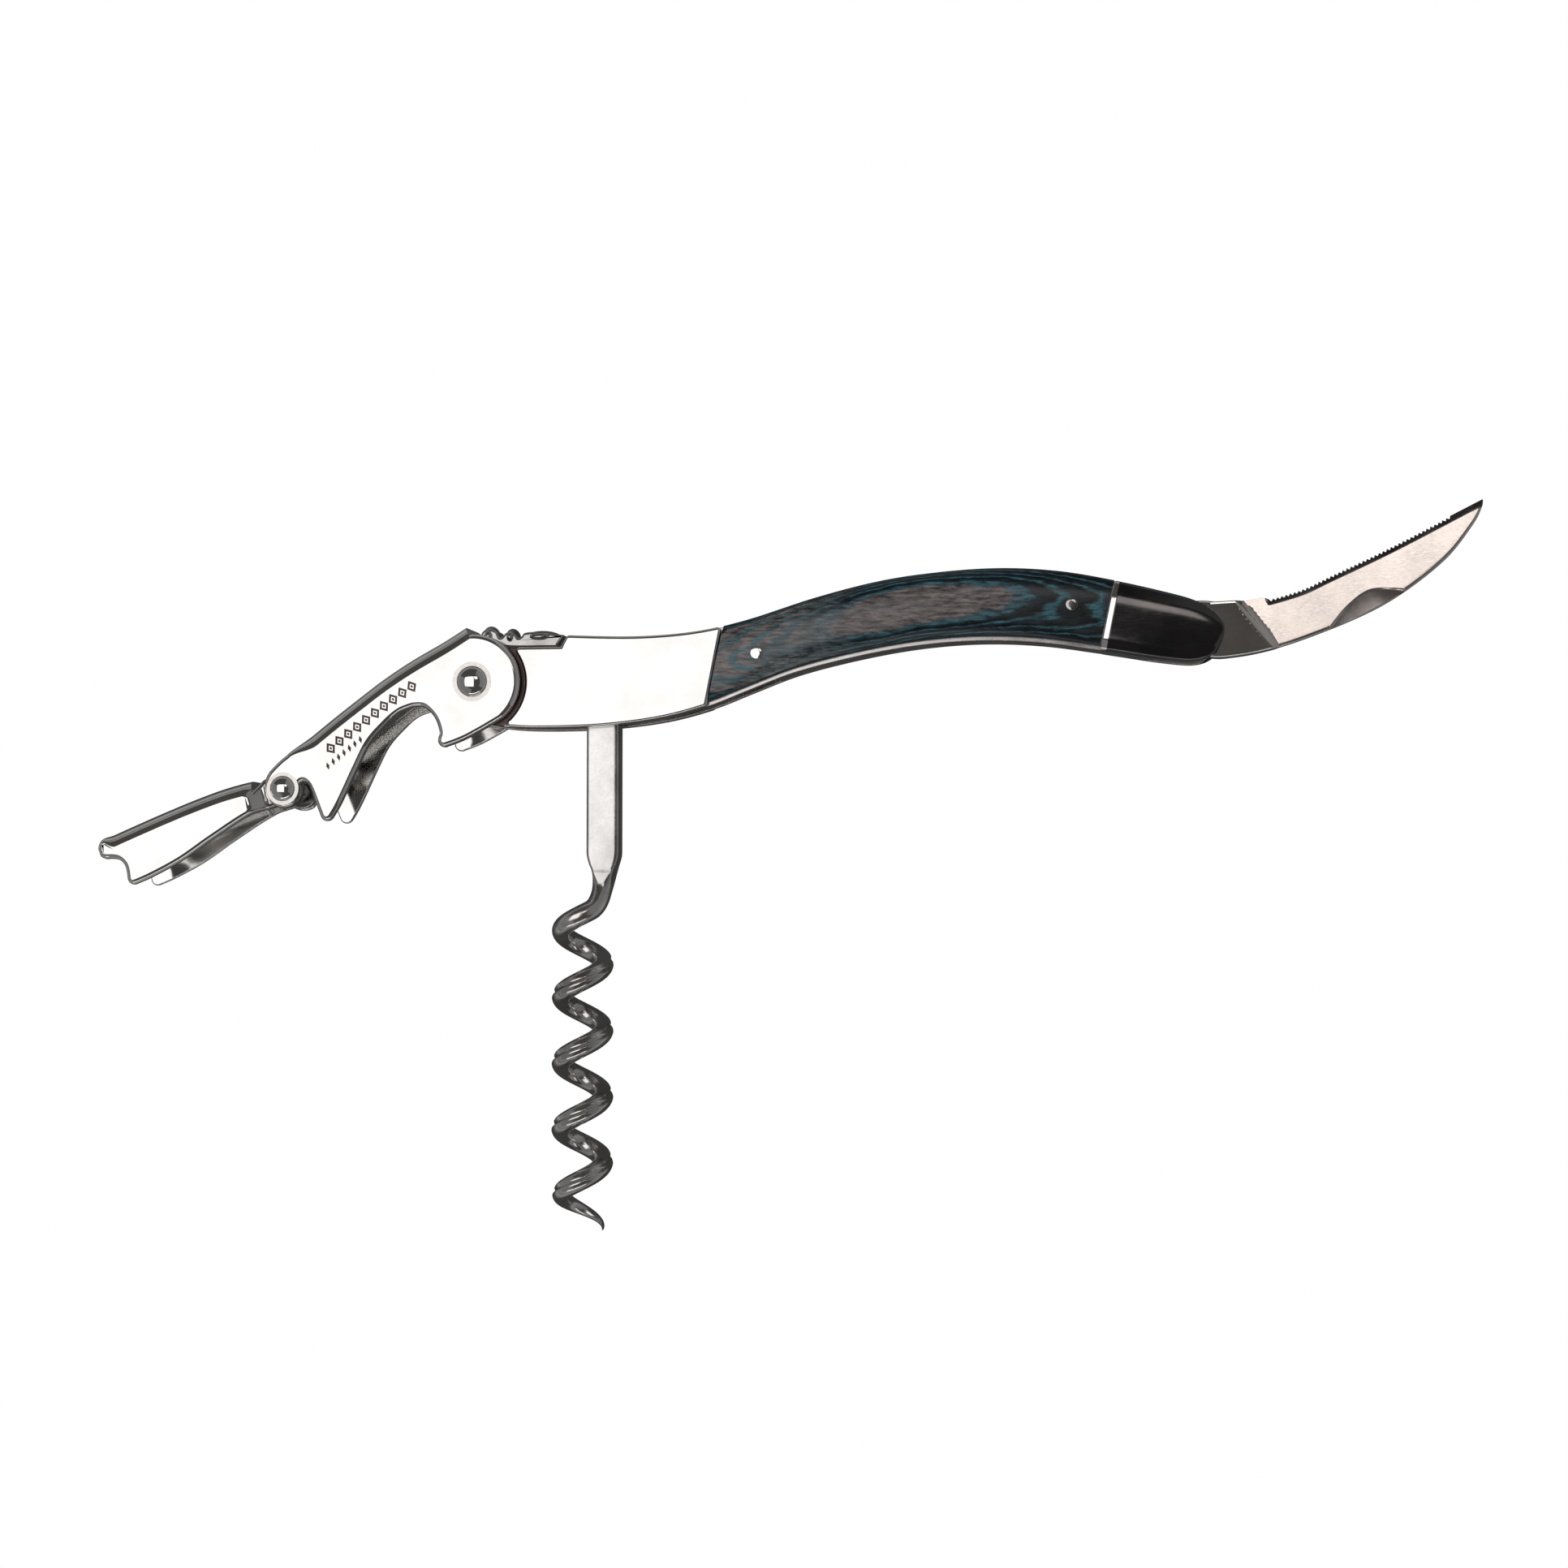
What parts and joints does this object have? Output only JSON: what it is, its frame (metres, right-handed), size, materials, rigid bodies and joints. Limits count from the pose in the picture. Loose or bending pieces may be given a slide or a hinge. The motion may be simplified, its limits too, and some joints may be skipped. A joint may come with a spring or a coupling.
{
  "type": "waiters corkscrew",
  "caption": "Folding waiter's corkscrew with an S-curved wood and steel handle, hinged worm, serrated foil blade and a channel-section lever with a hinged second step.",
  "frame": {"origin": "middle of the underside of the box of the opened tool, lying on its side", "axes": "+X along the handle from the lever to the blade's tip, +Y up the handle's height away from the worm, +Z through the thickness"},
  "size_m": [0.205, 0.1066, 0.015],
  "materials": {
    "polished_steel": "mirror polished stainless steel",
    "spring_steel": "satin steel",
    "blade_steel": "fine satin with a warm tint",
    "dark_chrome": "bright polished steel that reads dark",
    "laminated_wood": "oiled and polished blue and black laminated wood"
  },
  "bodies": {
    "handle": {"liner_left": "spring_steel", "liner_right": "spring_steel", "front_bolster_left": "polished_steel", "front_bolster_right": "polished_steel", "wood_scale_left": "laminated_wood", "wood_scale_right": "laminated_wood", "rear_bolster_left": "polished_steel", "rear_bolster_right": "polished_steel", "rear_scale_pin_left": "polished_steel", "rear_scale_pin_right": "polished_steel", "front_scale_pin": "polished_steel", "spring_pin": "spring_steel", "back_spring": "spring_steel", "top_spring": "spring_steel", "spring_ornament": "dark_chrome", "front_spacer": "spring_steel", "worm_pin": "polished_steel", "blade_pin": "spring_steel"},
    "lever_pivot": {"lever_rivet": "dark_chrome", "lever_washer_left": "spring_steel", "lever_washer_right": "spring_steel"},
    "lever": {"lever": "polished_steel", "second_arm_rivet": "dark_chrome", "second_arm_spring": "dark_chrome"},
    "second_arm": {"second_arm": "polished_steel"},
    "worm": {"worm": "dark_chrome"},
    "blade": {"blade": "blade_steel"}
  },
  "joints": [
    {"name": "worm_fold", "type": "hinge", "parent": "handle", "child": "worm", "pos_m": [-0.02593, 0.02408, 0.00752], "axis": [0, 0, 1], "range_deg": [0, 94]},
    {"name": "blade_fold", "type": "hinge", "parent": "handle", "child": "blade", "pos_m": [0.05977, 0.03518, 0.00752], "axis": [0, 0, 1], "range_deg": [0, 150]},
    {"name": "lever_swing", "type": "hinge", "parent": "handle", "child": "lever_pivot", "pos_m": [-0.04493, 0.02798, 0.00752], "axis": [0, 0, 1], "range_deg": [-4, 65]},
    {"name": "lever_close", "type": "hinge", "parent": "lever_pivot", "child": "lever", "pos_m": [-0.04493, 0.02798, 0.00752], "axis": [0, 0, 1], "range_deg": [0, 73]},
    {"name": "second_arm_fold", "type": "hinge", "parent": "lever", "child": "second_arm", "pos_m": [-0.07373, 0.01228, 0.00752], "axis": [0, 0, 1], "range_deg": [-55, 15], "stiffness_Nm_per_rad": 0.02}
  ],
  "couplings": [
    {"joint": "lever_close", "follows": "worm_fold", "ratio": 0.7765}
  ]
}
